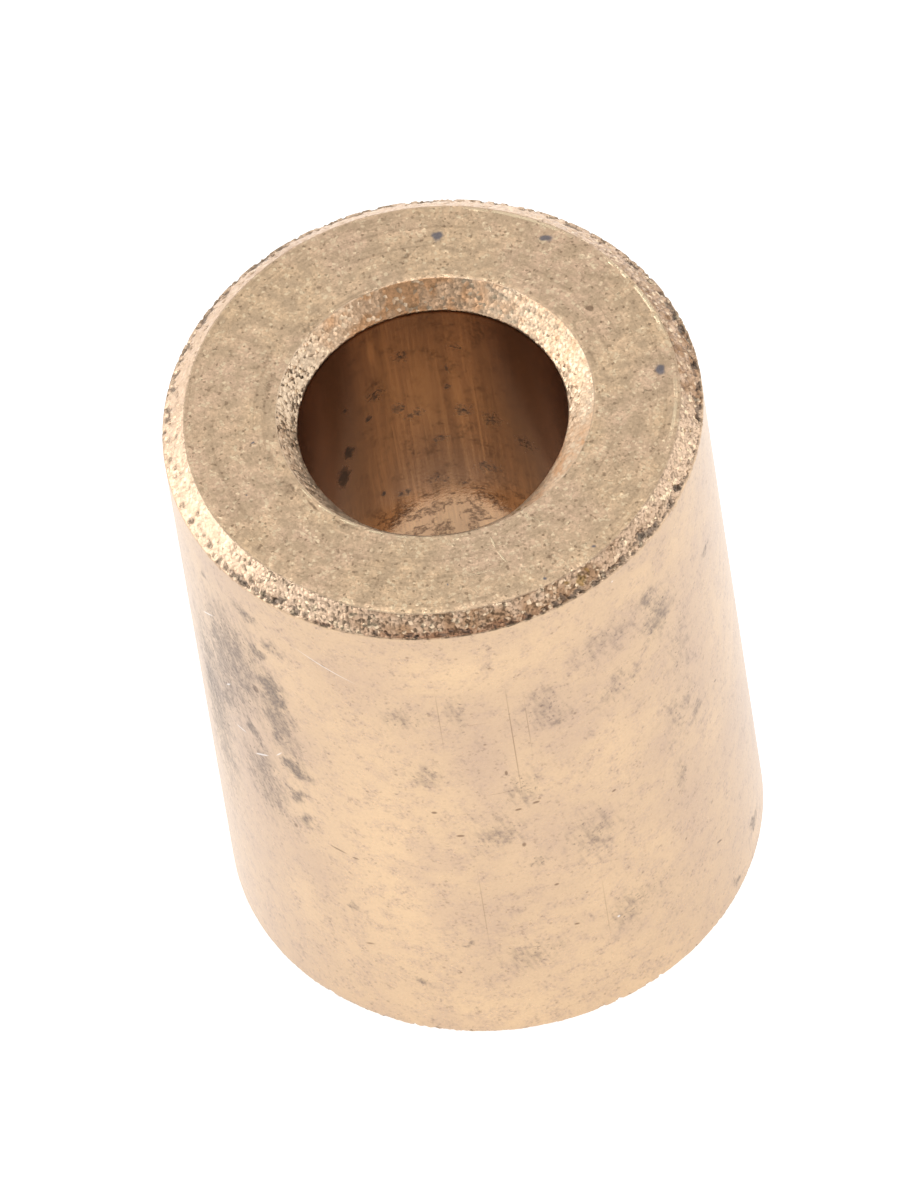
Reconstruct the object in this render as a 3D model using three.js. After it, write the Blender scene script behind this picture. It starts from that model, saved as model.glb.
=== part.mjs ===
// Plain sleeve bushing: one straight ring of pressed and sintered bronze.
// Millimetres, +Z along the bore, origin at the centre of the base face.
// A shaft runs in the bore, and the outside is pressed into a housing.

import * as THREE from 'three';

const OUTSIDE_DIAMETER = 12;
const BORE_DIAMETER = 6;
const LENGTH = 16;

// Both ends carry the same two chamfers, pressed in with the ring.
const OUTER_CHAMFER = { radial: 0.5, axial: 0.45 };
const BORE_CHAMFER = { radial: 0.55, axial: 0.5 };

// Flats around the ring. A multiple of four puts corners on the X and Y axes,
// so the ring measures its full diameter along both.
const STEPS_AROUND = 128;

// Half of the ring's section, as radius and height, walked from the bore's
// lower chamfer outwards, up the outside, inwards and back down the bore.
function sleeveOutline() {
  const outside = OUTSIDE_DIAMETER / 2;
  const bore = BORE_DIAMETER / 2;
  const faceInner = bore + BORE_CHAMFER.radial;
  const faceOuter = outside - OUTER_CHAMFER.radial;
  const lowerHalf = [
    [bore, BORE_CHAMFER.axial],
    [faceInner, 0],
    [faceOuter, 0],
    [outside, OUTER_CHAMFER.axial],
  ];
  const upperHalf = lowerHalf
    .map(([radius, height]) => [radius, LENGTH - height])
    .reverse();
  const corners = [...lowerHalf, ...upperHalf, lowerHalf[0]];
  return corners.map(([radius, height]) => new THREE.Vector2(radius, height));
}

function sinteredBronze() {
  return new THREE.MeshStandardMaterial({
    color: 0xc9a273,
    roughness: 0.42,
    metalness: 1,
  });
}

// The ring is turned about Y by the lathe, then stood up along Z.
function bushingSleeve() {
  const geometry = new THREE.LatheGeometry(sleeveOutline(), STEPS_AROUND);
  geometry.rotateX(Math.PI / 2);
  const sleeve = new THREE.Mesh(geometry, sinteredBronze());
  sleeve.name = 'bushing_sleeve';
  return sleeve;
}

const bushing = new THREE.Group();
bushing.add(bushingSleeve());

export default bushing;
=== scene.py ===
"""A plain sleeve bushing of sintered bronze, standing on a bright studio table."""

import math
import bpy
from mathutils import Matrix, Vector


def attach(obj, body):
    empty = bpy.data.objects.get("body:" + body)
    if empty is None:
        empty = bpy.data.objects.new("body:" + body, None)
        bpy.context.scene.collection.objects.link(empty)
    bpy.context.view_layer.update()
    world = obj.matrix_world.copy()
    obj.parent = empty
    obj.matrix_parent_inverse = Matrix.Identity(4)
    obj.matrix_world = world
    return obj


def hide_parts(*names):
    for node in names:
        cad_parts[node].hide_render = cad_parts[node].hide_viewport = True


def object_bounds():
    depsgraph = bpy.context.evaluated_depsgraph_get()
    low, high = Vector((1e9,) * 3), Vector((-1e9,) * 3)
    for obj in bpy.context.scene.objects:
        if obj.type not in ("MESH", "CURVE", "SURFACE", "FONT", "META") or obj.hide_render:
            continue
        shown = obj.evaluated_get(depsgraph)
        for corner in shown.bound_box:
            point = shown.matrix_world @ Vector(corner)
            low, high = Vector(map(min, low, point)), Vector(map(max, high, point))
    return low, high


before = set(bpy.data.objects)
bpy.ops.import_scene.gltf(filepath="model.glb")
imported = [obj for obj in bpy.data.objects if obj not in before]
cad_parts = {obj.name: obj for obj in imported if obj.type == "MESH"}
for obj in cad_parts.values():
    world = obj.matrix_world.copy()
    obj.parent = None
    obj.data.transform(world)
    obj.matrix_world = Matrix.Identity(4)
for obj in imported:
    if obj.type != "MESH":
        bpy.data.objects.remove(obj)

from types import SimpleNamespace

import bpy
from mathutils import Matrix, Vector, noise

# The mesh and the textures are worked out in millimetres. MM turns them into metres.
MM = 0.001
NODE = "bushing_sleeve"
SLOT = "sintered_bronze"
FINISHES = ("bore", "bore_chamfer", "face", "outer_chamfer", "side")
SKIN_PAINTS = ("dirt", "tarnish", "coarseness")
CAD_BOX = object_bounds()


# ---------------------------------------- the ring's section

def read_section():
    """Radii and heights of the section's corners, in millimetres, read off the CAD sleeve."""
    snap = 0.005
    corners = [vertex.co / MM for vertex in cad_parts[NODE].data.vertices]
    spots = [(math.hypot(corner.x, corner.y), corner.z) for corner in corners]
    bore = min(radius for radius, _ in spots)
    outside = max(radius for radius, _ in spots)
    on_base = [radius for radius, height in spots if height < snap]
    return SimpleNamespace(
        bore=bore,
        outside=outside,
        length=max(height for _, height in spots),
        face_inner=min(on_base),
        face_outer=max(on_base),
        bore_rise=min(height for radius, height in spots if radius < bore + snap),
        outer_rise=min(height for radius, height in spots if radius > outside - snap),
    )


RING = read_section()

# Segments around a stretch of the section. Neighbours differ by a factor of two at most.
COARSE, MEDIUM, FINE = 240, 480, 960
# Widths in millimetres: an end face's rounded edges, and the finer bands beside the chamfers.
EDGE_WIDTH = 0.04
BORE_BAND, RIM_BAND, SIDE_BAND = 0.35, 0.2, 0.6


def half_section():
    """Stretches of the section from mid-height of the bore, over the top end, to mid-height
    of the outside. Each is (start, end, steps, segments around, finish), and a place is
    (radius, depth below the end face)."""
    bore, outside = RING.bore, RING.outside
    middle = RING.length / 2
    bore_edge = (bore, RING.bore_rise)
    outer_edge = (outside, RING.outer_rise)
    face_inner = (RING.face_inner, 0)
    face_outer = (RING.face_outer, 0)
    beside_inner = (RING.face_inner + EDGE_WIDTH, 0)
    beside_outer = (RING.face_outer - EDGE_WIDTH, 0)
    below_bore_edge = (bore, RING.bore_rise + BORE_BAND)
    below_outer_edge = (outside, RING.outer_rise + RIM_BAND)
    above_side = (outside, RING.outer_rise + SIDE_BAND)
    return [
        ((bore, middle), below_bore_edge, 15, COARSE, "bore"),
        (below_bore_edge, bore_edge, 5, MEDIUM, "bore"),
        (bore_edge, face_inner, 16, MEDIUM, "bore_chamfer"),
        (face_inner, beside_inner, 1, MEDIUM, "face"),
        (beside_inner, beside_outer, 13, MEDIUM, "face"),
        (beside_outer, face_outer, 1, MEDIUM, "face"),
        (face_outer, outer_edge, 17, FINE, "outer_chamfer"),
        (outer_edge, below_outer_edge, 4, FINE, "side"),
        (below_outer_edge, above_side, 4, MEDIUM, "side"),
        (above_side, (outside, middle), 16, COARSE, "side"),
    ]


def whole_section():
    """The closed section as rings, walked up the bore, outwards over the top end, down the
    outside and inwards under the base. A ring is its radius, height, segments and finish."""
    rings = []

    def add(start, end, steps, segments, finish, to_height):
        for step in range(steps):
            share = step / steps
            radius = start[0] + (end[0] - start[0]) * share
            depth = start[1] + (end[1] - start[1]) * share
            rings.append(SimpleNamespace(
                radius=radius, height=to_height(depth), segments=segments, finish=finish))

    stretches = half_section()
    for start, end, steps, segments, finish in stretches:
        add(start, end, steps, segments, finish, lambda depth: RING.length - depth)
    for start, end, steps, segments, finish in reversed(stretches):
        add(end, start, steps, segments, finish, lambda depth: depth)
    return rings


def section_normals(rings):
    """The outward direction at each ring, as (radial, upward), from its two neighbours."""
    normals = []
    for index, ring in enumerate(rings):
        before = rings[index - 1]
        after = rings[(index + 1) % len(rings)]
        along = Vector((after.radius - before.radius, after.height - before.height))
        normals.append(Vector((-along.y, along.x)).normalized())
    return normals


# ---------------------------------------- the broken surface

GRAIN = 0.085             # size of a powder grain on the chamfers
GRAIN_DEPTH = 0.014       # hollow between grains
LOST_GRAIN_DEPTH = 0.04   # pit left by a grain that broke away
WAVE = 0.55               # size of the chamfers' unevenness
WAVE_DEPTH = 0.015
BLOOM = 0.3               # size of the patches of tarnish
CHIP = 0.15               # size of a chip out of the outer rim
CHIP_DEPTH = 0.038
RIM_REACH = 0.36          # how far chips reach up the chamfer from the rim
RIM_EDGE = 0.12           # how far from the rim they are thickest
SIDE_REACH = 0.07         # and how far they reach down the side
SINK_REACH = 3.5          # how far down the bore a deeper chamfer moves it
PIT_EDGE = 0.09           # size of the ragged steps in the outline of a pit
BORE_BULGE = 0.045        # how far the bore's chamfer is rounded over where it is most worn
PUNCH_OFFSET = 0.1        # how far the punch that shaped the top chamfer sits towards +X
PUNCH_REACH = 0.4         # how far inside the face's outer edge that shift ends
FLARE_REACH = 0.6         # how far into the end face its outer edge's shift reaches
BASE_TURN = 150           # the base end's wear is the top end's, turned by this many degrees

# Wear around the top end, by azimuth in degrees. Chips and black dirt on the outer rim:
RIM_WEAR = (
    (-180, 0.25), (-155, 0.4), (-140, 0.8), (-130, 0.7), (-112, 0.4), (-95, 0.6), (-62, 0.6),
    (-45, 0.85), (-25, 0.6), (-15, 0.45), (0, 0.85), (30, 0.65), (50, 0.6), (90, 0.75),
    (120, 0.9), (150, 0.75), (180, 0.25),
)
# Brown tarnish on the outer chamfer:
OUTER_TARNISH = (
    (-180, 0.12), (-122, 0.08), (-108, 0.75), (-90, 1), (-66, 1.05), (-52, 0.5), (-32, 0.15),
    (-14, 0.1), (-5, 1), (8, 1), (30, 0.6), (52, 0.1), (105, 0.15), (120, 0.5), (140, 0.15),
    (180, 0.12),
)
# How coarse the outer chamfer's grain is:
OUTER_GRAIN = (
    (-180, 0.32), (-150, 0.42), (-135, 0.75), (-60, 0.9), (-45, 1), (30, 0.9), (60, 0.4),
    (120, 0.3), (180, 0.35),
)
# Black dirt, tarnish and grain of the bore's chamfer:
BORE_WEAR = (
    (-180, 0.3), (-150, 0.2), (-115, 0), (-40, 0.26), (-5, 0.1), (50, 0.05), (78, 0.12),
    (92, 0.35), (106, 0.15), (130, 0.24), (160, 0.05), (180, 0.3),
)
BORE_TARNISH = (
    (-180, 0.2), (-140, 0.2), (-100, 0.1), (-50, 0.6), (-22, 0.8), (-5, 0.2), (25, 0.5),
    (50, 0.35), (68, 0.8), (92, 1.4), (106, 1.1), (122, 0.85), (140, 0.1), (165, 0), (180, 0.2),
)
BORE_GRAIN = (
    (-180, 0.4), (-145, 0.25), (-110, 0.1), (-60, 0.15), (-10, 0.4), (30, 0.5), (60, 0.45),
    (115, 0.45), (150, 0.6), (180, 0.4),
)
# How far the bore's chamfer is rounded over:
BORE_ROUND = ((-180, 0.2), (-150, 0.6), (-115, 1), (20, 0.8), (60, 0.4), (100, 0), (180, 0.2))

# How much narrower the outer chamfer is than at the back, in millimetres:
CHAMFER_NARROWING = (
    (-180, 0), (-130, 0), (-105, 0.14), (-60, 0.17), (-40, 0.11), (-10, 0.06), (25, 0), (180, 0),
)

# How much deeper into the bore the bore's chamfer runs than at the back, in millimetres:
BORE_DEEPENING = (
    (-180, 0), (-160, 0.03), (-145, 0.12), (-130, 0.23), (-112, 0.29), (-75, 0.29), (-60, 0.22),
    (-47, 0.1), (-34, 0.02), (-22, 0), (180, 0),
)

# Deep black pits in the outer rim: azimuth in degrees, radius in millimetres.
RIM_PITS = (
    (-142, 0.08), (-134, 0.13), (-101, 0.08), (-45.5, 0.19), (-41, 0.11), (-31, 0.18),
    (-12, 0.08), (3, 0.1), (16, 0.12), (34, 0.09),
)


def around(table, azimuth):
    """A value read between the entries of a table by azimuth."""
    for (low, first), (high, second) in zip(table, table[1:]):
        if azimuth <= high:
            return first + (second - first) * (azimuth - low) / (high - low)
    return table[-1][1]


def ease(value, low, high):
    """Goes smoothly from 0 to 1 as value goes from low to high."""
    share = min(1.0, max(0.0, (value - low) / (high - low)))
    return share * share * (3 - 2 * share)


def broken_grains(place, coarseness):
    """(hollow in millimetres, gap from 0 to 1) of a chamfer's granular skin."""
    distances, centres = noise.voronoi(place / GRAIN)
    gap = min(1.0, distances[0] / 0.8) ** 2
    lost = noise.cell(centres[0] * 3.7) > 1.0 - 0.5 * coarseness
    bowl = max(0.0, 1.0 - distances[0] / 0.75) if lost else 0.0
    wave = 0.5 + 0.5 * noise.noise(place / WAVE)
    hollow = (GRAIN_DEPTH * gap + LOST_GRAIN_DEPTH * bowl) * coarseness + WAVE_DEPTH * wave
    return hollow, min(1.0, 0.45 * gap + 1.2 * bowl)


def rim_pit(place, azimuth, rim_gap):
    """How deep the nearest of the rim's large pits is, from 0 to 1."""
    deepest = 0.0
    for pit_azimuth, size in RIM_PITS:
        along = math.radians(azimuth - pit_azimuth) * RING.outside
        if abs(along) < 2 * size:
            ragged = 1 + 0.9 * noise.noise(place / PIT_EDGE)
            distance = math.hypot(along, rim_gap - size) * ragged
            deepest = max(deepest, ease(distance, size, size * 0.3))
    return deepest


def outer_skin(ring, place, azimuth):
    """(hollow, dirt, tarnish, coarseness) of the outer chamfers and the top of the outside."""
    on_chamfer = ring.finish == "outer_chamfer"
    depth = min(ring.height, RING.length - ring.height)
    rim_gap = math.hypot(RING.outside - ring.radius, depth - RING.outer_rise)
    if on_chamfer:
        closeness = ease(rim_gap, RIM_REACH, RIM_EDGE) * ease(rim_gap, -0.04, 0.5 * RIM_EDGE)
    else:
        closeness = 0.6 * ease(rim_gap, SIDE_REACH, 0.0)
    if closeness == 0 and not on_chamfer:
        return 0.0, 0.0, 0.0, 0.0
    wear = around(RIM_WEAR, azimuth)
    cloud = noise.fractal(place / CHIP, 0.8, 2.0, 3)
    chip = ease(cloud + 1.1 * wear * closeness, 0.55, 0.95)
    pit = rim_pit(place, azimuth, rim_gap) * (1.0 if on_chamfer else closeness)
    hollow = CHIP_DEPTH * max(chip, 1.5 * pit)
    dirt = max(0.74 * chip, pit)
    if not on_chamfer:
        return hollow, dirt, 0.0, 0.0
    coarseness = around(OUTER_GRAIN, azimuth)
    grain_hollow, gap = broken_grains(place, coarseness)
    tarnish = around(OUTER_TARNISH, azimuth) * (0.8 + 0.8 * noise.noise(place / BLOOM))
    dirt = max(dirt, ease(gap, 0.45, 1.1) * (0.11 + 0.46 * wear * closeness))
    return hollow + grain_hollow, dirt, max(0.0, tarnish), coarseness


def bore_chamfer_skin(ring, place, azimuth):
    """(hollow, dirt, tarnish, coarseness) of the bore's chamfers."""
    coarseness = around(BORE_GRAIN, azimuth)
    across = (ring.radius - RING.bore) / (RING.face_inner - RING.bore)
    bulge = BORE_BULGE * around(BORE_ROUND, azimuth) * 4 * across * (1 - across)
    hollow, gap = broken_grains(place, coarseness)
    patch = ease(noise.noise(place / BLOOM), -0.2, 0.45)
    dirt = around(BORE_WEAR, azimuth) * ease(gap + 0.6 * patch, 0.55, 1.2)
    tarnish = around(BORE_TARNISH, azimuth) * (0.5 + 0.6 * patch)
    return hollow - bulge, dirt, tarnish, coarseness


def skin(ring, place, azimuth):
    """(hollow in millimetres, black dirt, brown tarnish, coarseness) at a place on a ring."""
    if ring.height < RING.length / 2:
        azimuth = (azimuth + BASE_TURN + 180) % 360 - 180
    if ring.finish in ("outer_chamfer", "side"):
        return outer_skin(ring, place, azimuth)
    if ring.finish == "bore_chamfer":
        return bore_chamfer_skin(ring, place, azimuth)
    return 0.0, 0.0, 0.0, 0.0


def punch_shift(ring):
    """How far a ring of the top end is shifted towards +X by the punch."""
    if ring.height < RING.length / 2:
        return 0.0
    if ring.finish == "face":
        return PUNCH_OFFSET * ease(ring.radius, RING.face_outer - PUNCH_REACH, RING.face_inner)
    if ring.finish == "bore_chamfer":
        return PUNCH_OFFSET * (ring.radius - RING.bore) / (RING.face_inner - RING.bore)
    return 0.0


def flare(ring, azimuth):
    """How far the end face reaches out into the chamfer of the top end, at a ring."""
    if ring.height < RING.length / 2:
        return 0.0
    reach = around(CHAMFER_NARROWING, azimuth)
    if ring.finish == "outer_chamfer":
        return reach * (RING.outside - ring.radius) / (RING.outside - RING.face_outer)
    if ring.finish == "face":
        return reach * ease(ring.radius, RING.face_outer - FLARE_REACH, RING.face_outer)
    return 0.0


def sink(ring, azimuth):
    """How much lower a ring sits where the top end's bore chamfer was cut deeper."""
    if ring.height < RING.length / 2:
        return 0.0
    depth = around(BORE_DEEPENING, azimuth)
    if ring.finish == "bore_chamfer":
        return depth * (RING.face_inner - ring.radius) / (RING.face_inner - RING.bore)
    if ring.finish == "bore":
        return depth * ease(ring.height, RING.length - SINK_REACH, RING.length - RING.bore_rise)
    return 0.0


def build_sleeve():
    """The ring as one closed mesh, with its finish on its vertices and its own flat map."""
    rings = whole_section()
    normals = section_normals(rings)
    paints = {name: [] for name in SKIN_PAINTS + FINISHES}
    places, rows = [], []
    for ring, normal in zip(rings, normals):
        row = []
        for step in range(ring.segments):
            turn = 2 * math.pi * step / ring.segments
            outwards = Vector((math.cos(turn), math.sin(turn), 0))
            azimuth = math.degrees(math.atan2(outwards.y, outwards.x))
            place = outwards * (ring.radius + flare(ring, azimuth))
            place += Vector((punch_shift(ring), 0, ring.height - sink(ring, azimuth)))
            hollow, *skin_paints = skin(ring, place, azimuth)
            inwards = -(outwards * normal.x + Vector((0, 0, normal.y)))
            row.append(len(places))
            places.append((place + inwards * hollow) * MM)
            for name, value in zip(SKIN_PAINTS, skin_paints):
                paints[name].append(value)
            for finish in FINISHES:
                paints[finish].append(1.0 if finish == ring.finish else 0.0)
        rows.append(row)
    faces, corners = [], []
    for index, row in enumerate(rows):
        join_rows(row, rows[(index + 1) % len(rows)], index, faces, corners)
    mesh = bpy.data.meshes.new("sleeve")
    mesh.from_pydata(places, [], faces)
    mesh.polygons.foreach_set("use_smooth", [True] * len(mesh.polygons))
    for name, values in paints.items():
        mesh.attributes.new(name, "FLOAT", "POINT").data.foreach_set("value", values)
    unroll(mesh, corners, rings)
    mesh.update()
    return mesh


def join_rows(row, above, index, faces, corners):
    """Faces between a ring and the next one, which has as many, half or twice the points.
    Each corner is kept with its place on the unrolled section, as (turn, ring)."""
    ratio = len(above) / len(row)
    count = min(len(row), len(above))

    def own(step):
        return row[step % len(row)], (step / len(row), index)

    def next_up(step):
        return above[step % len(above)], (step / len(above), index + 1)

    def face(*points):
        faces.append([vertex for vertex, _ in points])
        corners.extend(spot for _, spot in points)

    for step in range(count):
        if ratio == 1:
            face(own(step), own(step + 1), next_up(step + 1), next_up(step))
        elif ratio == 2:
            middle = 2 * step + 1
            face(own(step), next_up(middle), next_up(middle - 1))
            face(own(step), own(step + 1), next_up(middle))
            face(own(step + 1), next_up(middle + 1), next_up(middle))
        else:
            middle = 2 * step + 1
            face(own(middle - 1), own(middle), next_up(step))
            face(own(middle), next_up(step + 1), next_up(step))
            face(own(middle), own(middle + 1), next_up(step + 1))


# Share of the flat map's height that a millimetre of each finish gets.
MAP_WEIGHT = {"bore": 0.7, "bore_chamfer": 2, "face": 2, "outer_chamfer": 2, "side": 1}


def unroll(mesh, corners, rings):
    """The flat map: the turn across, and the way along the section upwards."""
    way = [0.0]
    for index, ring in enumerate(rings):
        after = rings[(index + 1) % len(rings)]
        length = math.hypot(after.radius - ring.radius, after.height - ring.height)
        way.append(way[-1] + length * MAP_WEIGHT[ring.finish])
    layer = mesh.uv_layers.new(name="OFBake")
    flat = []
    for turn, index in corners:
        flat.extend((turn, way[index] / way[-1]))
    layer.data.foreach_set("uv", flat)


# ---------------------------------------- node helpers

# Each helper adds nodes to the tree that its values come from, so that a look reads as a
# formula. A value is a node's output, a number, or a tuple where a place or a colour fits.

def node(kind, inputs, **settings):
    """A new node in the tree of the outputs that feed it."""
    outputs = [value for value in inputs.values() if isinstance(value, bpy.types.NodeSocket)]
    tree = outputs[0].id_data
    made = tree.nodes.new(kind)
    for name, value in settings.items():
        setattr(made, name, value)
    for key, value in inputs.items():
        if value in outputs:
            tree.links.new(value, made.inputs[key])
        elif value is not None:
            made.inputs[key].default_value = value
    return made


def calculate(operation, first, second=None):
    return node("ShaderNodeMath", {0: first, 1: second}, operation=operation).outputs[0]


def times(first, *others):
    for other in others:
        first = calculate("MULTIPLY", first, other)
    return first


def plus(first, *others):
    for other in others:
        first = calculate("ADD", first, other)
    return first


def most(first, *others):
    for other in others:
        first = calculate("MAXIMUM", first, other)
    return first


def minus(first, second):
    return calculate("SUBTRACT", first, second)


def vector(operation, first, second=None, third=None, scale=None):
    inputs = {0: first, 1: second, 2: third, "Scale": scale}
    outputs = node("ShaderNodeVectorMath", inputs, operation=operation).outputs
    return outputs["Value" if operation in ("LENGTH", "DOT_PRODUCT") else "Vector"]


def split(place):
    return node("ShaderNodeSeparateXYZ", {0: place}).outputs


def join(x, y, z):
    return node("ShaderNodeCombineXYZ", {0: x, 1: y, 2: z}).outputs[0]


def turned(place, angle, centre=None):
    """The place turned about Z, around a centre."""
    inputs = {"Vector": place, "Center": centre, "Angle": angle}
    return node("ShaderNodeVectorRotate", inputs, rotation_type="Z_AXIS").outputs[0]


def fade(value, low, high, to_low=0, to_high=1):
    """Goes smoothly from to_low to to_high as value goes from low to high."""
    inputs = dict(enumerate((value, low, high, to_low, to_high)))
    return node("ShaderNodeMapRange", inputs, interpolation_type="SMOOTHSTEP").outputs[0]


def clouds(place, size, detail=2, roughness=0.5):
    """Cloudy noise from 0 to 1, with features of about that size."""
    inputs = {"Vector": place, "Scale": 1 / size, "Detail": detail, "Roughness": roughness}
    return node("ShaderNodeTexNoise", inputs).outputs["Fac"]


def jitter(place, size, amount):
    """The place, pushed about by up to half the amount by noise of that size."""
    push = node("ShaderNodeTexNoise", {"Vector": place, "Scale": 1 / size}).outputs["Color"]
    push = vector("SUBTRACT", push, (0.5, 0.5, 0.5))
    return vector("ADD", place, vector("SCALE", push, scale=amount))


def cells(place, size):
    """(distance to the nearest centre in cell sizes, three random numbers per cell)."""
    outputs = node("ShaderNodeTexVoronoi", {"Vector": place, "Scale": 1 / size}).outputs
    return outputs["Distance"], outputs["Color"]


def tint(colour, other, share, strength=None):
    """The colour, drawn towards another by a share, times a strength if one is given."""
    share = times(share, strength) if strength else share
    inputs = {0: share, 6: colour, 7: other}
    return node("ShaderNodeMix", inputs, data_type="RGBA").outputs[2]


def mix(share, first, second):
    """A number that goes from the first to the second."""
    return node("ShaderNodeMix", {0: share, 2: first, 3: second}, data_type="FLOAT").outputs[0]


def rgb(red, green, blue):
    return (red, green, blue, 1)


# ---------------------------------------- stains, scratches, painted shade and painted light

# A mark is its azimuth in degrees, its height, half width and half height in millimetres, its
# strength and, where it leans, its lean in degrees. On the end face a mark starts with its
# radius and azimuth, and its half sizes are radial and sideways.

# Broad warm and dull tones of the outside.
SIDE_GOLD = (
    (-114, 6.5, 2.3, 9, 1), (-95, 14.2, 3.2, 1.2, 0.9), (-72, 2.2, 2.6, 2.4, 0.6),
    (-62, 9.5, 1, 3, 0.6), (-50, 14.6, 0.7, 0.6, 0.8), (60, 8, 2.6, 5.5, 0.8, 10),
    (140, 3.5, 2.6, 3, 0.7), (-100, 0.9, 5, 2.4, 1), (-62, 0.6, 2.6, 1.6, 0.8),
)
SIDE_MAUVE = (
    (-91, 10.6, 1.1, 3.4, 0.8), (-80, 7.4, 1.3, 2.2, 0.6), (-76, 12, 1.2, 1.6, 0.8),
    (-150, 9, 1.7, 7, 0.8), (-59, 13.3, 1.6, 1.1, 0.8), (-44, 5, 1.2, 3.2, 0.7),
    (-36, 10.5, 1.3, 4, 0.6), (25, 9, 1.6, 6, 0.7), (100, 10, 1.8, 4.5, 0.8, -15),
    (165, 9, 1.5, 6, 0.6),
)

# Grey smear where the bushing was gripped, and the smudges around it.
SIDE_SMEARS = (
    (-163, 9, 1.3, 6, 0.7), (-150, 12, 1.7, 3.4, 0.74), (-146, 8, 1.2, 2.6, 0.64, 10),
    (-155, 11.5, 1.1, 4, 0.72), (-151, 12.9, 0.7, 1, 0.72), (-143, 14.4, 0.7, 0.45, 0.75),
    (-157, 14.3, 0.3, 0.25, 0.65), (-136.5, 13.7, 0.5, 0.4, 0.8),
    (-138.5, 11, 0.9, 3.2, 0.7, 10), (-141, 13.1, 0.6, 0.3, 0.9),
    (-138, 11.9, 0.6, 1.1, 1.2, 12), (-141.5, 10.8, 0.35, 0.35, 0.7),
    (-139, 10.2, 0.4, 0.7, 0.85, 20), (-135.5, 9.2, 0.65, 0.55, 1.1),
    (-136, 8.1, 0.5, 0.6, 0.9), (-134, 7.3, 0.4, 0.5, 0.65), (-147, 9.6, 0.3, 0.75, 1, 20),
    (-150, 10.6, 0.3, 0.7, 0.7), (-143, 8.6, 0.5, 0.2, 0.7), (-155, 9.8, 0.7, 0.8, 0.74),
    (-146, 7.2, 0.8, 1, 0.6), (-104, 10.4, 0.8, 0.7, 0.45), (-95, 12.6, 0.35, 1.1, 0.48),
    (-76, 12.2, 1, 1.3, 0.46), (-74, 11.5, 0.3, 0.25, 0.65), (-78, 12.6, 0.5, 0.5, 0.4),
    (-60, 13.4, 1.5, 0.9, 0.44), (-48, 13.6, 0.6, 0.7, 0.6), (-45.5, 12.8, 0.9, 1.3, 0.62, -15),
    (-46, 13, 0.2, 0.3, 0.8), (-58, 11.6, 1.4, 1.2, 0.32), (-70, 7, 1.2, 1.4, 0.42),
    (-40, 11, 0.8, 2, 0.36), (-44, 9, 1, 1.6, 0.36), (-64, 3.6, 1.4, 1.2, 0.42),
    (-88, 3.2, 1.2, 0.9, 0.42), (-108, 12.4, 1, 0.9, 0.42), (-83.5, 9.4, 0.7, 1, 0.5),
    (-83, 6.6, 0.35, 0.3, 0.62), (-46, 6.8, 0.3, 1, 0.5), (-38, 8.2, 0.5, 0.6, 0.45),
    (-33, 0.9, 0.4, 0.3, 0.75), (-20, 1.4, 0.5, 0.3, 0.7), (-25, 12.4, 0.4, 0.2, 0.65),
    (-126, 4.6, 0.3, 0.3, 0.65), (-112, 2.2, 0.3, 0.35, 0.65), (-101, 3.9, 0.4, 0.16, 0.62),
    (-91, 8, 1, 1.2, 0.4), (40, 11, 1.6, 2, 0.55), (72, 5, 1, 2.4, 0.56, 25),
    (118, 9.5, 1.4, 1.1, 0.52), (150, 12.5, 0.7, 1.8, 0.56, -20), (95, 13.6, 1.1, 0.5, 0.5),
    (172, 4.5, 1, 1.3, 0.5), (60, 12.6, 1.6, 1.2, 0.44), (102, 2.8, 1.5, 1, 0.44),
    (134, 6.2, 1.5, 1.6, 0.44), (20, 5, 1.4, 1.4, 0.44),
)

# Brown flecks and short dashes on the outside, and a few fine lines drawn along it.
SIDE_FLECKS = (
    (-143.6, 11.5, 0.14, 0.2, 1.3), (-127, 6.7, 0.4, 0.06, 0.8, -12),
    (-138, 6.8, 0.1, 0.14, 0.9), (-123, 6.6, 0.15, 0.05, 0.9), (-123, 3.3, 0.25, 0.07, 0.7, 20),
    (-103.3, 8.95, 0.1, 0.07, 1.3), (-98.5, 8.05, 0.15, 0.07, 1.2),
    (-86.8, 10.2, 0.06, 0.15, 1.1), (-85.5, 8.75, 0.12, 0.06, 1.3),
    (-81.5, 8.85, 0.13, 0.07, 1.2), (-85.5, 7.4, 0.09, 0.14, 0.9), (-80, 5.6, 0.1, 0.07, 1),
    (-77, 3.9, 0.12, 0.06, 1, -20), (-64, 8.05, 0.11, 0.06, 0.9), (-37, 3, 0.2, 0.06, 1, -30),
    (-29, 8.1, 0.15, 0.06, 0.8, -30), (60, 8.4, 0.14, 0.06, 1.1), (102, 6.2, 0.1, 0.1, 1.2),
    (133, 7.9, 0.05, 0.9, 0.8, 10), (27, 5.6, 0.12, 0.06, 1.1),
)
SIDE_LINES = (
    (-84.2, 11.3, 0.022, 2.8, 0.55), (-80.6, 11.8, 0.02, 1.4, 0.4), (-96.2, 5.2, 0.02, 2, 0.35),
    (-99, 12.5, 0.02, 1.6, 0.35), (-70, 4, 0.02, 1.8, 0.3), (110, 9, 0.02, 3, 0.4),
    (-88, 9.5, 0.5, 0.02, 0.35, 3), (-92, 12.2, 0.4, 0.02, 0.3), (48, 6, 0.02, 2.5, 0.4),
)

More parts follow.
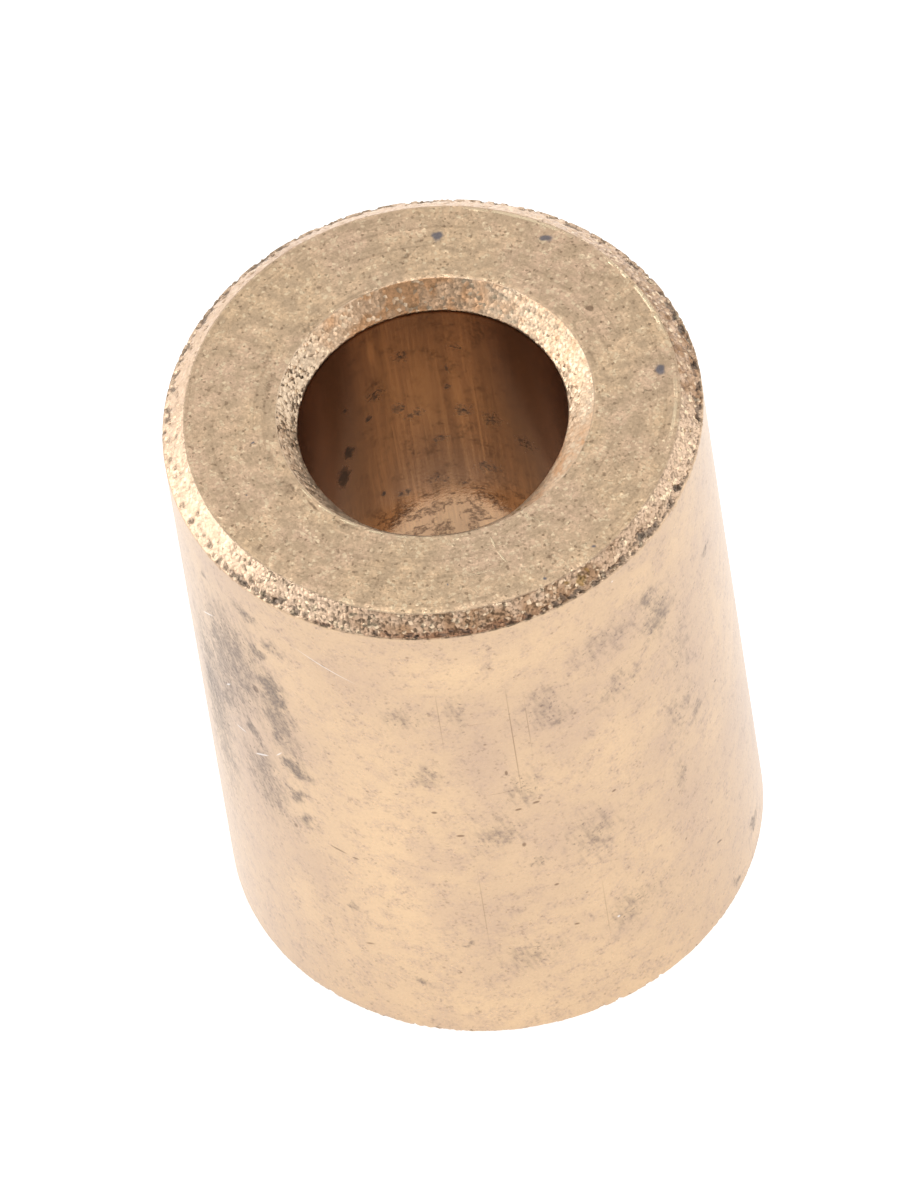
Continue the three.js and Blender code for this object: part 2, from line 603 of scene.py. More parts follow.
# Pale hairline scratches, lint and a few rubbed spots.
SIDE_HAIRS = (
    (-159, 12.65, 0.55, 0.028, 1, 40), (-154.5, 10.5, 0.22, 0.03, 1, 50),
    (-145.5, 8.8, 0.42, 0.035, 1.3, 38), (-152, 9.1, 0.3, 0.03, 1.2, 15),
    (-123, 13.95, 1.25, 0.022, 0.7, -25), (-67.5, 3.5, 0.06, 0.06, 0.8),
    (-56.5, 15.3, 0.06, 0.05, 0.5), (-139.5, 9.4, 0.03, 0.3, 0.6, -35),
    (88, 10.2, 0.6, 0.03, 0.8, 28), (15, 7, 0.5, 0.03, 0.7, -40),
)

# Copper-coloured edge of the outer chamfers, and a drop of dried oil at the front.
RIM_COPPER = ((-92, 15.58, 3.6, 0.17, 1.1), (-122, 15.56, 1.2, 0.12, 0.7), (88, 0.42, 3, 0.15, 1.1))
RIM_OIL = (
    (-63, 15.78, 0.19, 0.14, 1.3), (-60.5, 15.88, 0.12, 0.08, 0.9),
    (-66, 15.88, 0.16, 0.06, 0.7),
)

# Blue dots, brown stains, pale scratches and short painted highlights on the end faces.
FACE_DOTS = (
    (4.66, 80.5, 0.21, 0.22, 1.3), (5.12, 52.6, 0.15, 0.26, 1.15, 20),
    (5.14, 0, 0.17, 0.24, 1.2), (5.4, -56, 0.09, 0.09, 1), (5.45, -70, 0.09, 0.08, 1),
    (4.03, 183, 0.07, 0.07, 0.9), (4.85, -93, 0.06, 0.06, 1), (4.6, 200, 0.05, 0.05, 0.9),
)
FACE_STAINS = (
    (4.28, 27, 0.15, 0.15, 1.5), (4.2, 90, 0.14, 0.3, 1, 35), (4.05, 92, 0.4, 0.7, 0.48),
    (4.9, -65, 0.6, 0.6, 0.42), (3.9, 150, 0.5, 1, 0.5), (4.5, -30, 0.7, 0.7, 0.42),
    (3.36, 97, 0.22, 0.3, 1.3), (3.75, 205, 0.3, 1, 0.6), (3.68, 160, 0.22, 1.1, 0.55),
    # At 217, 206 and 228 degrees: a dark broken line beside the bore edge's painted highlights.
    (3.62, 132, 0.2, 0.7, 0.7), (3.66, 230, 0.22, 0.7, 0.6), (3.62, 217, 0.06, 0.35, 1.3),
    (3.66, 206, 0.06, 0.25, 1.1), (3.64, 228, 0.05, 0.2, 1.1), (4.9, 250, 0.6, 1.2, 0.42),
    (5.25, 75, 0.3, 1.6, 0.42), (3.75, 10, 0.15, 0.8, 0.5),
)
FACE_SCRATCHES_AND_HIGHLIGHTS = (
    (4.03, -77.6, 0.24, 0.032, 1.1), (4.47, -77, 0.26, 0.028, 1, 12),
    (4.72, -84, 0.018, 0.75, 0.7), (4.95, 67, 0.16, 0.025, 0.9, 30),
    (4.75, 50, 0.03, 0.12, 0.8, 10), (3.95, -62, 0.5, 0.018, 0.5, 35),
    # Short painted highlights along the edge of the bore's chamfer, at the front left:
    (3.505, -149, 0.032, 0.3, 0.9), (3.515, -138.5, 0.035, 0.3, 1.1),
    (3.53, -128, 0.04, 0.32, 1.2), (3.545, -117.5, 0.04, 0.3, 1.1),
    (3.56, -108, 0.03, 0.26, 0.8),
)
# Parts of the face's outer edge with a raised burr, and a painted highlight along it.
FACE_BURR_AND_HIGHLIGHT = ((5.42, 24, 0.3, 2.4, 1.6), (5.42, 60, 0.3, 2.6, 0.9), (5.42, -12, 0.3, 1.6, 0.8))

# Painted shade on the bore's sides, brown and grey, and brown at two heights of its back wall; then
# its stains.
BORE_PAINTED_SHADE = (
    (46, 13.5, 1.6, 9, 1.3), (132, 13.5, 1.6, 9, 1.3), (90, 15.6, 2.6, 1.4, 0.45),
    (90, 9.9, 2.4, 1.5, 0.4),
)
BORE_PAINTED_GREY_SHADE = ((20, 12, 1.6, 10, 1.2), (160, 12, 1.6, 10, 1.2))
BORE_STAINS = (
    (129, 13.2, 0.14, 0.16, 1.2), (118.5, 12.35, 0.17, 0.17, 1.2), (136, 11.1, 0.36, 0.6, 1.5),
    (131, 11.7, 0.3, 0.4, 1.3, -30), (116.5, 9.45, 0.14, 0.16, 1.2),
    (77, 11.7, 0.45, 0.45, 0.8), (82, 12.6, 0.16, 0.2, 0.95), (97, 11.8, 0.4, 0.3, 0.8),
    (88, 10.7, 0.4, 0.3, 0.7), (80.5, 9, 0.15, 0.1, 0.9), (76, 14.1, 0.3, 0.2, 0.75),
    (80.5, 13.3, 0.08, 0.3, 0.9), (104, 12.2, 0.35, 0.45, 0.75), (107, 9.1, 0.45, 0.3, 0.75),
    (64, 11.5, 0.45, 0.5, 0.7), (49, 11, 0.5, 0.5, 0.65), (113, 13, 0.4, 0.4, 0.65),
    (99, 14, 0.35, 0.4, 0.65), (-95, 6, 0.5, 0.8, 0.7), (-60, 10, 0.3, 1.4, 0.7),
    (-140, 4, 0.6, 0.6, 0.8), (70, 9.6, 0.6, 0.5, 0.6), (91, 9.2, 0.5, 0.3, 0.6),
)
# Old oil that dried in brown rings low on the bore's back wall.
BORE_RINGS = (
    (75, 8.75, 0.35, 0.07, 0.9, 8), (97, 8.72, 0.4, 0.06, 0.8, -5), (87, 8.6, 0.12, 0.1, 0.8),
    (107, 8.4, 0.25, 0.14, 0.9), (80, 8.2, 0.07, 0.3, 0.8), (91.5, 8.1, 0.06, 0.4, 0.8),
    (103, 7.65, 0.3, 0.06, 0.9, 5), (74, 7.6, 0.4, 0.07, 0.9, -12),
    (69, 8.2, 0.06, 0.35, 0.8, 20), (98, 8, 0.07, 0.25, 0.7, -20), (84.5, 7.7, 0.05, 0.3, 0.6),
)
# Lines rubbed bright down the bore; the broad ones are a painted band of light on its back wall.
BORE_STREAKS_AND_PAINTED_LIGHT = (
    (70.5, 11.5, 0.05, 4, 0.7), (85, 12, 0.12, 4.5, 0.6), (99.5, 12, 0.05, 3.5, 0.6),
    (112, 14.6, 0.16, 0.8, 0.9), (107.5, 11, 0.04, 3, 0.5), (92, 12.6, 0.55, 2.6, 0.8),
    (78, 12.2, 0.3, 2.6, 0.55), (104, 12.6, 0.35, 2.6, 0.5), (-80, 9, 0.1, 4, 0.6),
)


# ---------------------------------------- sintered bronze

BRONZE = rgb(0.635, 0.450, 0.292)
MAUVE_BRONZE = rgb(0.510, 0.360, 0.270)
GOLDEN_BRONZE = rgb(0.740, 0.524, 0.323)
GRIT_BRONZE = rgb(0.440, 0.300, 0.200)
FACE_BRONZE = rgb(0.830, 0.590, 0.370)
FACE_OLIVE = rgb(0.590, 0.430, 0.280)
FACE_PINK = rgb(0.760, 0.530, 0.375)
# Pale gold of scratches, and of painted glints and highlights.
GLINT_AND_SCRATCH_GOLD = rgb(0.980, 0.780, 0.520)
BORE_CHAMFER_BRONZE = rgb(0.915, 0.730, 0.535)
CHAMFER_BRONZE = rgb(0.815, 0.598, 0.428)
BORE_BRONZE = rgb(0.460, 0.287, 0.175)
BORE_GOLD = rgb(0.670, 0.430, 0.240)
# Colours of the painted shade in the bore:
PAINTED_SHADE_BROWN = rgb(0.215, 0.140, 0.100)
PAINTED_SHADE_GREY = rgb(0.270, 0.215, 0.215)
OIL_BROWN = rgb(0.150, 0.085, 0.050)
TARNISH = rgb(0.400, 0.238, 0.136)
AMBER = rgb(0.790, 0.440, 0.225)
SMUT_GREY = rgb(0.190, 0.145, 0.120)
PIT_BLACK = rgb(0.090, 0.074, 0.064)
DOT_BLUE = rgb(0.150, 0.150, 0.180)
COPPER = rgb(0.330, 0.150, 0.080)
OLIVE_OIL = rgb(0.300, 0.175, 0.050)
LINT = rgb(0.950, 0.920, 0.900)

# Sizes and distances in the looks are in millimetres.
FINE_GRAIN = 0.055  # a grain pressed flat on the sized surfaces
FINE_JITTER = 0.05  # how far and how finely its outline wanders
SPECK, PATCH, CLOUD = 0.085, 0.42, 2.3  # the three noises that break the looks up
RAGGED_SIZE, RAGGED_PUSH = 0.22, 0.2  # how the outlines of most marks wander
TORN_SIZE, TORN_PUSH = 0.4, 0.75  # and those of the smears
PORE_SPACING, PORE_DEPTH = 0.34, 0.004
SMEAR_GRAIN = 0.13  # width of the slanting streaks in the smears
SMEAR_STRETCH = 0.22  # their width as a share of their length
SMEAR_LEAN = math.radians(-16)
ARCS_OUTWARDS, ARCS_AROUND = 9, 1.6  # turned arcs on the end face, per millimetre and radian
BURR_RADIUS, BURR_HEIGHT = 5.43, 0.03
LUMP_HEIGHT = 0.02  # how far the middle of a chamfer's grain stands out
DRAWN_LINE, DRAWN_BAND = 0.075, 0.6  # widths of the lines and bands drawn down the bore
DRAWN_STRETCH = 0.035  # their width as a share of their length
POLISH_TOP, POLISH_FULL = 9.3, 8.4  # heights where the bore's polished part begins

# How far the normal leans: on fine and coarse chamfer grains, on the flattened grains of the
# end face and the outside, and where the bore's chamfer is rubbed round.
GRAIN_LEAN = (0.08, 0.75)
FACE_LEAN, SIDE_LEAN = 0.2, 0.02
ROUND_LEAN = (0.12, 0.38)

SIDE_ROUGHNESS = 0.24
FACE_ROUGHNESS = 0.38
CHAMFER_ROUGHNESS = (0.42, 0.28)  # of dull and of bright grains
BORE_ROUGHNESS, POLISHED_ROUGHNESS = 0.2, 0.055


def painted(nodes, name):
    """A value that the mesh carries on its points."""
    reader = nodes.new("ShaderNodeAttribute")
    reader.attribute_name = name
    return reader.outputs["Fac"]


def survey(nodes):
    """What the looks read: the place in millimetres, flat places on each surface as they are,
    with ragged and with torn outlines, the grains, three noises, how far the place belongs to
    each finish, and what the skin there is like."""
    place = vector("SCALE", nodes.new("ShaderNodeTexCoord").outputs["Object"], scale=1 / MM)
    grain_distance, grain_chance = cells(place, GRAIN)
    return SimpleNamespace(
        place=place,
        flat=flat_places(place),
        ragged=flat_places(jitter(place, RAGGED_SIZE, RAGGED_PUSH)),
        torn=flat_places(jitter(place, TORN_SIZE, TORN_PUSH)),
        radius=vector("LENGTH", vector("MULTIPLY", place, (1, 1, 0))),
        grain_distance=grain_distance,
        grain_chance=grain_chance,
        fine_chance=cells(jitter(place, FINE_JITTER, FINE_JITTER), FINE_GRAIN)[1],
        speck=clouds(place, SPECK, roughness=0.65),
        patch=clouds(place, PATCH, detail=3, roughness=0.62),
        cloud=clouds(place, CLOUD, roughness=0.55),
        normal=nodes.new("ShaderNodeNewGeometry").outputs["Normal"],
        on={name: painted(nodes, name) for name in FINISHES},
        **{name: painted(nodes, name) for name in SKIN_PAINTS},
    )


def flat_places(place):
    """The place unrolled off the outside, unrolled off the bore, and seen from above."""
    x, y, z = split(place)
    azimuth = calculate("ARCTAN2", y, x)
    return SimpleNamespace(
        outside=join(times(azimuth, RING.outside), z, 0),
        bore=join(times(azimuth, RING.bore), z, 0),
        face=join(x, y, 0),
    )


def outside_marks(flat, spots):
    """The strongest of a table's marks on the outside, from 0 to their strength."""
    return wall_marks(flat.outside, spots, RING.outside)


def bore_marks(flat, spots):
    return wall_marks(flat.bore, spots, RING.bore)


def wall_marks(wall, spots, radius):
    field = 0.0
    for azimuth, height, half_width, half_height, strength, *lean in spots:
        centre = (math.radians(azimuth) * radius, height)
        spot = mark(wall, centre, (half_width, half_height), strength, *lean)
        field = most(field, spot)
    return field


def face_marks(flat, spots):
    """The same for marks on the end face, whose half sizes are radial and sideways."""
    field = 0.0
    for radius, azimuth, half_width, half_height, strength, *lean in spots:
        turn = math.radians(azimuth)
        centre = (radius * math.cos(turn), radius * math.sin(turn))
        slant = sum(lean, azimuth)
        spot = mark(flat.face, centre, (half_width, half_height), strength, slant)
        field = most(field, spot)
    return field


def mark(flat, centre, half_size, strength, lean=0):
    """An oval that is strongest in the middle and fades out to its edge."""
    if lean:
        flat = turned(flat, math.radians(-lean), (*centre, 0))
    scale = (1 / half_size[0], 1 / half_size[1], 0)
    shift = (-centre[0] * scale[0], -centre[1] * scale[1], 0)
    oval = vector("MULTIPLY_ADD", flat, scale, third=shift)
    return fade(vector("LENGTH", oval), 1, 0, 0, strength)


def smudge(field, texture, spread=0.9, low=0.25, high=0.9):
    """Breaks a soft field of marks up with a texture, so that it reads as dirt in a rough skin."""
    loose = times(minus(texture, 0.5), spread)
    return fade(plus(field, loose), low, high)


def side_look(here):
    """(colour, roughness, height in millimetres) of the sized outside."""
    luck, shade, _ = split(here.fine_chance)
    gold = most(fade(here.cloud, 0.48, 0.7, 0, 0.5), outside_marks(here.flat, SIDE_GOLD))
    mauve = most(fade(here.cloud, 0.5, 0.32, 0, 0.5), outside_marks(here.ragged, SIDE_MAUVE))
    colour = tint(BRONZE, GOLDEN_BRONZE, gold, 0.85)
    colour = tint(colour, MAUVE_BRONZE, mauve, 0.65)
    dull = times(fade(here.patch, 0.4, 0.66), fade(here.speck, 0.25, 0.75))
    colour = tint(colour, MAUVE_BRONZE, dull, 0.75)
    colour = tint(colour, GRIT_BRONZE, fade(shade, 0.3, 1, 0, 0.12))
    fine = times(fade(here.speck, 0.56, 0.78), fade(here.patch, 0.35, 0.65, 0.06, 0.3))
    colour = tint(colour, OIL_BROWN, fine)
    distance, chance = cells(here.place, PORE_SPACING)
    rare = fade(split(chance)[0], 0.55, 0.95)
    pore = times(fade(distance, 0.17, 0.05), rare, fade(here.patch, 0.36, 0.6, 0.25, 1))
    dots = times(fade(luck, 0.06, 0.02), fade(here.patch, 0.38, 0.6, 0.1, 0.5))
    colour = tint(colour, OIL_BROWN, most(pore, dots), 0.55)
    smear = gripped_smear(here)
    colour = tint(colour, SMUT_GREY, smear)
    fleck = fade(outside_marks(here.flat, SIDE_FLECKS), 0.1, 0.8)
    line = outside_marks(here.flat, SIDE_LINES)
    colour = tint(colour, OIL_BROWN, most(times(fleck, 0.7), line))
    hair = fade(outside_marks(here.flat, SIDE_HAIRS), 0.05, 0.6)
    colour = tint(colour, LINT, hair, 0.55)
    roughness = plus(SIDE_ROUGHNESS, times(smear, 0.16), times(here.speck, 0.1))
    height = plus(times(here.speck, 0.002), times(pore, -PORE_DEPTH))
    return colour, roughness, height


def gripped_smear(here):
    """How grey the outside is where it was gripped: soft smudges with dark, slanting flecks."""
    field = outside_marks(here.torn, SIDE_SMEARS)
    along = vector("MULTIPLY", turned(here.flat.outside, SMEAR_LEAN), (1, SMEAR_STRETCH, 1))
    slanting = clouds(along, SMEAR_GRAIN, roughness=0.6)
    loose = plus(times(slanting, 1.2), times(here.patch, 0.8))
    soft = fade(plus(field, minus(loose, 1)), 0.05, 1.05, 0, 0.88)
    soft = times(soft, fade(here.speck, 0.34, 0.6, 0.66, 1))
    flecks = fade(plus(here.speck, times(field, 0.38)), 0.66, 0.9, 0, 0.75)
    return most(soft, times(flecks, fade(field, 0, 0.3, 0.25, 1)))


def face_look(here):
    """(colour, roughness, height in millimetres) of the end faces."""
    luck, shade, hue = split(here.fine_chance)
    outwards = vector("NORMALIZE", vector("MULTIPLY", here.place, (1, 1, 0)))
    climb = join(0, 0, times(here.radius, ARCS_OUTWARDS))
    swirl = vector("ADD", vector("SCALE", outwards, scale=ARCS_AROUND), climb)
    arcs = clouds(swirl, 1, roughness=0.6)
    colour = tint(FACE_BRONZE, FACE_PINK, fade(here.cloud, 0.4, 0.62, 0, 0.7))
    colour = tint(colour, FACE_OLIVE, fade(here.patch, 0.36, 0.66, 0, 0.9))
    colour = tint(colour, OIL_BROWN, fade(arcs, 0.5, 0.75, 0, 0.24))
    colour = tint(colour, FACE_OLIVE, fade(shade, 0.35, 1, 0, 0.35))
    colour = tint(colour, OIL_BROWN, fade(here.speck, 0.5, 0.76, 0, 0.36))
    # Grains tinted pale gold: painted glints, on top of the lean of their normals.
    small = fade(plus(luck, times(here.patch, -0.45)), 0.68, 0.76)
    big_luck = split(here.grain_chance)[0]
    big = fade(plus(big_luck, times(here.patch, -0.8)), 0.46, 0.56, 0, 0.9)
    flecks = times(most(small, big), fade(hue, 0, 1, 0.2, 1))
    colour = tint(colour, GLINT_AND_SCRATCH_GOLD, flecks, 0.85)
    colour = tint(colour, OIL_BROWN, fade(luck, 0.045, 0.02), 0.5)
    stain = smudge(face_marks(here.ragged, FACE_STAINS), here.speck, 1)
    colour = tint(colour, OIL_BROWN, stain, 0.6)
    dot = fade(face_marks(here.ragged, FACE_DOTS), 0.1, 0.8)
    colour = tint(colour, DOT_BLUE, dot, 0.85)
    scratch_and_highlight = fade(face_marks(here.flat, FACE_SCRATCHES_AND_HIGHLIGHTS), 0.05, 0.6)
    off_burr = calculate("ABSOLUTE", minus(here.radius, BURR_RADIUS))
    burr_and_highlight = times(
        fade(off_burr, 0.055, 0.02), face_marks(here.flat, FACE_BURR_AND_HIGHLIGHT), fade(here.patch, 0.42, 0.52))
    # Pale scratches and a raised burr, with painted highlights on the burr and along the bore's
    # edge.
    scratches_burr_and_highlights = most(scratch_and_highlight, burr_and_highlight)
    colour = tint(colour, GLINT_AND_SCRATCH_GOLD, scratches_burr_and_highlights, 0.95)
    roughness = plus(
        FACE_ROUGHNESS, times(flecks, -0.12), times(here.patch, 0.08), times(scratches_burr_and_highlights, -0.15))
    height = plus(
        times(here.speck, 0.006), times(arcs, 0.006), times(here.patch, 0.016),
        times(scratches_burr_and_highlights, BURR_HEIGHT))
    return colour, roughness, height


def chamfer_look(here):
    """(colour, roughness, height in millimetres) of the granular chamfers."""
    luck, shade, hue = split(here.grain_chance)
    in_bore = here.on["bore_chamfer"]
    colour = tint(CHAMFER_BRONZE, BORE_CHAMFER_BRONZE, in_bore)
    colour = tint(colour, FACE_OLIVE, fade(hue, 0.2, 1, 0, 0.4))
    brown = times(here.tarnish, fade(luck, 0.72, 0.98, 1, 0.35))
    stained = tint(TARNISH, AMBER, in_bore)
    colour = tint(colour, stained, calculate("MINIMUM", brown, 0.95))
    # A few coarse grains tinted pale gold: painted glints.
    rarely = fade(luck, 0.82, 0.96, 0, 0.8)
    bright = times(rarely, here.coarseness, fade(here.tarnish, 0, 1, 1, 0.6))
    colour = tint(colour, GLINT_AND_SCRATCH_GOLD, bright)
    gap = times(
        fade(here.grain_distance, 0.45, 0.8), fade(shade, 0.2, 0.7, 0.1, 0.55), here.coarseness)
    colour = tint(colour, OIL_BROWN, gap)
    colour = tint(colour, OIL_BROWN, fade(here.speck, 0.55, 0.75, 0, 0.3))
    copper = smudge(outside_marks(here.ragged, RIM_COPPER), here.speck, 1.2)
    colour = tint(colour, COPPER, copper, 0.6)
    oil = fade(outside_marks(here.ragged, RIM_OIL), 0.1, 0.7)
    colour = tint(colour, OLIVE_OIL, oil, 0.7)
    roughness = plus(fade(luck, 0, 1, *CHAMFER_ROUGHNESS), times(in_bore, 0.06))
    lumps = times(here.grain_distance, -LUMP_HEIGHT, here.coarseness)
    height = plus(times(here.speck, 0.008), lumps)
    return colour, roughness, height


def bore_look(here):
    """(colour, roughness, height in millimetres) of the drawn and worn bore."""
    along = vector("MULTIPLY", here.place, (1, 1, DRAWN_STRETCH))
    fine = clouds(along, DRAWN_LINE, detail=3, roughness=0.65)
    broad = clouds(along, DRAWN_BAND, detail=1)
    low = fade(split(here.place)[2], POLISH_TOP, POLISH_FULL)
    colour = tint(BORE_BRONZE, BORE_GOLD, fade(fine, 0.42, 0.64, 0, 0.55))
    colour = tint(colour, OIL_BROWN, fade(broad, 0.45, 0.62, 0, 0.22))
    blotch = times(fade(here.patch, 0.44, 0.7), fade(here.speck, 0.32, 0.68))
    colour = tint(colour, OIL_BROWN, blotch, 0.8)
    # Painted shade: brown on the bore's sides and at two heights of its back wall, grey further
    # round its sides.
    shade = times(bore_marks(here.flat, BORE_PAINTED_SHADE), 0.7)
    colour = tint(colour, PAINTED_SHADE_BROWN, calculate("MINIMUM", shade, 0.85))
    painted_grey_shade = times(bore_marks(here.flat, BORE_PAINTED_GREY_SHADE), 0.7)
    colour = tint(colour, PAINTED_SHADE_GREY, calculate("MINIMUM", painted_grey_shade, 0.8))
    colour = tint(colour, BORE_GOLD, low, 0.3)
    # Bright lines down the bore, and a painted band of light down the middle of its back wall.
    streak_and_painted_light = fade(bore_marks(here.flat, BORE_STREAKS_AND_PAINTED_LIGHT), 0, 0.8)
    colour = tint(colour, BORE_GOLD, streak_and_painted_light, 0.6)
    rings = smudge(bore_marks(here.ragged, BORE_RINGS), here.speck, 0.8, 0.2, 0.8)
    webs = times(
        low, fade(here.patch, 0.48, 0.56), fade(here.patch, 0.68, 0.59),
        fade(here.speck, 0.36, 0.6, 0.25, 1))
    colour = tint(colour, OIL_BROWN, most(rings, webs), 0.85)
    stain = smudge(bore_marks(here.ragged, BORE_STAINS), here.speck, 2, 0.3, 1.15)
    colour = tint(colour, PIT_BLACK, stain, 0.85)
    polish = mix(low, BORE_ROUGHNESS, POLISHED_ROUGHNESS)
    roughness = plus(polish, times(fine, 0.06), times(stain, 0.2))
    height = plus(times(fine, 0.0009), times(here.speck, 0.0012))
    return colour, roughness, height


def painted_edge_highlights(here):
    """Painted highlights along the end face's two edges, on its left side."""
    x, y, _ = split(here.place)
    left = fade(plus(times(x, -1), times(y, -0.35)), 1.5, 3)
    patchy = fade(here.patch, 0.3, 0.55, 1, 0.4)
    chamfers = (here.on["bore_chamfer"], here.on["outer_chamfer"])
    edges = [times(chamfer, minus(1, chamfer), 4) for chamfer in chamfers]
    return times(plus(*edges), here.on["face"], left, patchy)


def rounded_over(here):
    """How the normal leans up where the bore's chamfer was rubbed round on one side."""
    x, y, _ = split(here.place)
    lean = fade(x, -2.5, 2, *ROUND_LEAN)
    return join(0, 0, times(here.on["bore_chamfer"], fade(y, 0.3, -1.2), lean))


def leaning_grains(chance, amount):
    """A lean of the normal that differs from grain to grain, so that they glint one by one."""
    lean = vector("SUBTRACT", chance, (0.5, 0.5, 0.5))
    return vector("SCALE", lean, scale=amount)


def leaning_normal(here, chamfer):
    """The smooth normal, leaning with the grains and where the metal was rubbed round."""
    coarse_lean = times(chamfer, fade(here.coarseness, 0, 1, *GRAIN_LEAN))
    fine_lean = plus(times(here.on["face"], FACE_LEAN), times(here.on["side"], SIDE_LEAN))
    normal = here.normal
    for lean in (leaning_grains(here.grain_chance, coarse_lean),
                 leaning_grains(here.fine_chance, fine_lean),
                 rounded_over(here)):
        normal = vector("ADD", normal, lean)
    return vector("NORMALIZE", normal)


def sintered_bronze():
    material = bpy.data.materials.new(SLOT)
    material.use_nodes = True
    here = survey(material.node_tree.nodes)
    chamfer = plus(here.on["outer_chamfer"], here.on["bore_chamfer"])
    colour, roughness, height = side_look(here)
    height = times(height, here.on["side"])
    looks = ((here.on["face"], face_look), (chamfer, chamfer_look), (here.on["bore"], bore_look))
    for share, look in looks:
        own_colour, own_roughness, own_height = look(here)
        colour = tint(colour, own_colour, share)
        roughness = mix(share, roughness, own_roughness)
        height = plus(height, times(own_height, share))
    # Painted highlights along the end face's edges, in pale gold.
    colour = tint(colour, GLINT_AND_SCRATCH_GOLD, painted_edge_highlights(here), 0.8)
    colour = tint(colour, PIT_BLACK, fade(here.dirt, 0.1, 1, 0, 0.82))
    relief = {"Distance": MM, "Height": height, "Normal": leaning_normal(here, chamfer)}
    finish = {
        "Base Color": colour,
        "Roughness": roughness,
        "Normal": node("ShaderNodeBump", relief).outputs[0],
    }
    shader = material.node_tree.nodes["Principled BSDF"]
    shader.inputs["Metallic"].default_value = 1
    for name, value in finish.items():
        material.node_tree.links.new(value, shader.inputs[name])
    return material


# ---------------------------------------- studio

TABLE_SPREAD = 1.5                   # half the table's width, in metres
TABLE_GAP = 0.00001                  # keeps the table clear of the base face
TABLE_GREY, TABLE_GLOW = 0.5, 0.89
CAMERA_DISTANCE = 0.708
CAMERA_ELEVATION = math.radians(53.95)
CAMERA_ROLL = math.radians(-9.336)
CAMERA_LENS, SENSOR_WIDTH = 954.0, 36.0  # in millimetres
CAMERA_OFFSET = (-0.000205, 0.000378)  # right and up of the line to the bushing's centre
HORIZON_GLOW, ZENITH_GLOW = 1.15, 0.72
CALM_HEIGHT = 0.75                   # sine of the elevation where the zenith's glow is reached
VIEWER_GLOOM = 0.3                   # share of the glow left on the side it is seen from
GLOOM_EDGE, GLOOM_CORE = math.radians(45), math.radians(15)

# Soft boxes: bearing and elevation in degrees, distance and size in metres, radiance.
SOFT_BOXES = {
    "left_box": (165, 28, 0.40, 0.30, 1.5),
    "right_box": (0, 34, 0.40, 0.22, 1.0),
    "top_box": (110, 84, 0.45, 0.16, 2.5),
}


def table():
    spread = TABLE_SPREAD
    mesh = bpy.data.meshes.new("table")
    corners = [(-spread, -spread), (spread, -spread), (spread, spread), (-spread, spread)]
    mesh.from_pydata([(x, y, -TABLE_GAP) for x, y in corners], [], [(0, 1, 2, 3)])
    material = bpy.data.materials.new("table_paper")
    material.use_nodes = True
    shader = material.node_tree.nodes["Principled BSDF"]
    shader.inputs["Base Color"].default_value = rgb(TABLE_GREY, TABLE_GREY, TABLE_GREY)
    shader.inputs["Roughness"].default_value = 0.7
    shader.inputs["Emission Color"].default_value = rgb(1, 1, 1)
    shader.inputs["Emission Strength"].default_value = TABLE_GLOW
    mesh.materials.append(material)
    floor = bpy.data.objects.new("table", mesh)
    bpy.context.scene.collection.objects.link(floor)


def towards(azimuth, elevation):
    """The direction at a bearing from +X and a height above the horizon, in degrees."""
    turn, rise = math.radians(azimuth), math.radians(elevation)
    level = math.cos(rise)
    return Vector((math.cos(turn) * level, math.sin(turn) * level, math.sin(rise)))


def soft_box(name, azimuth, elevation, distance, size, radiance):
    """A square soft light that faces the bushing."""
    lamp = bpy.data.lights.new(name, "AREA")
    lamp.shape = "SQUARE"
    lamp.size = size
    lamp.energy = radiance * math.pi * size * size
    holder = bpy.data.objects.new(name, lamp)
    direction = towards(azimuth, elevation)
    holder.location = direction * distance
    holder.rotation_mode = "QUATERNION"
    holder.rotation_quaternion = direction.to_track_quat("Z", "Y")
    bpy.context.scene.collection.objects.link(holder)


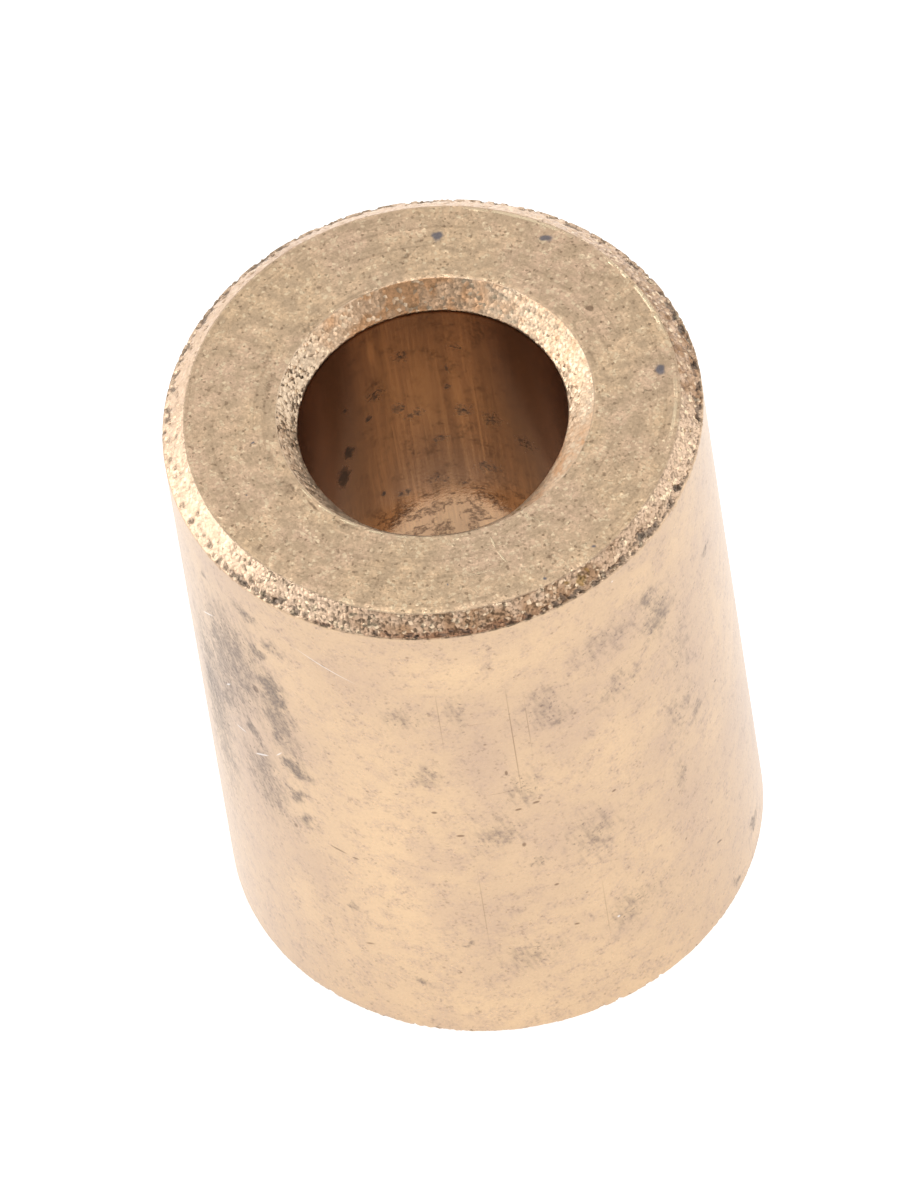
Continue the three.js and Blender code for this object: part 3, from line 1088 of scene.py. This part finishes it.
def camera_axes():
    """The camera's right, up and backward directions, seen from the front and rolled."""
    back = Vector((0, -math.cos(CAMERA_ELEVATION), math.sin(CAMERA_ELEVATION)))
    level_right = Vector((1, 0, 0))
    level_up = back.cross(level_right)
    cosine, sine = math.cos(CAMERA_ROLL), math.sin(CAMERA_ROLL)
    right = cosine * level_right + sine * level_up
    up = cosine * level_up - sine * level_right
    return right, up, back


def camera():
    right, up, back = camera_axes()
    centre = (CAD_BOX[0] + CAD_BOX[1]) / 2
    data = bpy.data.cameras.new("camera")
    data.sensor_width = SENSOR_WIDTH
    data.lens = CAMERA_LENS
    data.clip_start, data.clip_end = 0.05, 10.0
    viewer = bpy.data.objects.new("camera", data)
    spot = centre + back * CAMERA_DISTANCE + right * CAMERA_OFFSET[0] + up * CAMERA_OFFSET[1]
    facing = Matrix((right, up, back)).transposed()
    viewer.matrix_world = Matrix.Translation(spot) @ facing.to_4x4()
    bpy.context.scene.collection.objects.link(viewer)
    bpy.context.scene.camera = viewer


def surroundings():
    """Bright near the horizon, calmer overhead, and dark on the side the bushing is seen from."""
    world = bpy.data.worlds.new("studio")
    world.use_nodes = True
    nodes = world.node_tree.nodes
    direction = nodes.new("ShaderNodeTexCoord").outputs["Generated"]
    glow = fade(split(direction)[2], 0, CALM_HEIGHT, HORIZON_GLOW, ZENITH_GLOW)
    viewer_side = camera_axes()[2]
    nearness = vector("DOT_PRODUCT", direction, tuple(viewer_side))
    dark = fade(nearness, math.cos(GLOOM_EDGE), math.cos(GLOOM_CORE))
    background = nodes["Background"]
    background.inputs["Color"].default_value = rgb(1, 1, 1)
    strength = times(glow, fade(dark, 0, 1, 1, VIEWER_GLOOM))
    world.node_tree.links.new(strength, background.inputs["Strength"])
    bpy.context.scene.world = world


def studio():
    table()
    surroundings()
    for name, setting in SOFT_BOXES.items():
        soft_box(name, *setting)
    camera()
    scene = bpy.context.scene
    scene.view_settings.view_transform = "Standard"
    scene.view_settings.look = "None"
    scene.cycles.max_bounces = 24
    scene.cycles.glossy_bounces = 20


# ---------------------------------------- the bushing

def bushing():
    mesh = build_sleeve()
    mesh.materials.append(sintered_bronze())
    sleeve = bpy.data.objects.new("sleeve", mesh)
    bpy.context.scene.collection.objects.link(sleeve)
    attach(sleeve, "root")
    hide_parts(NODE)


studio()
bushing()
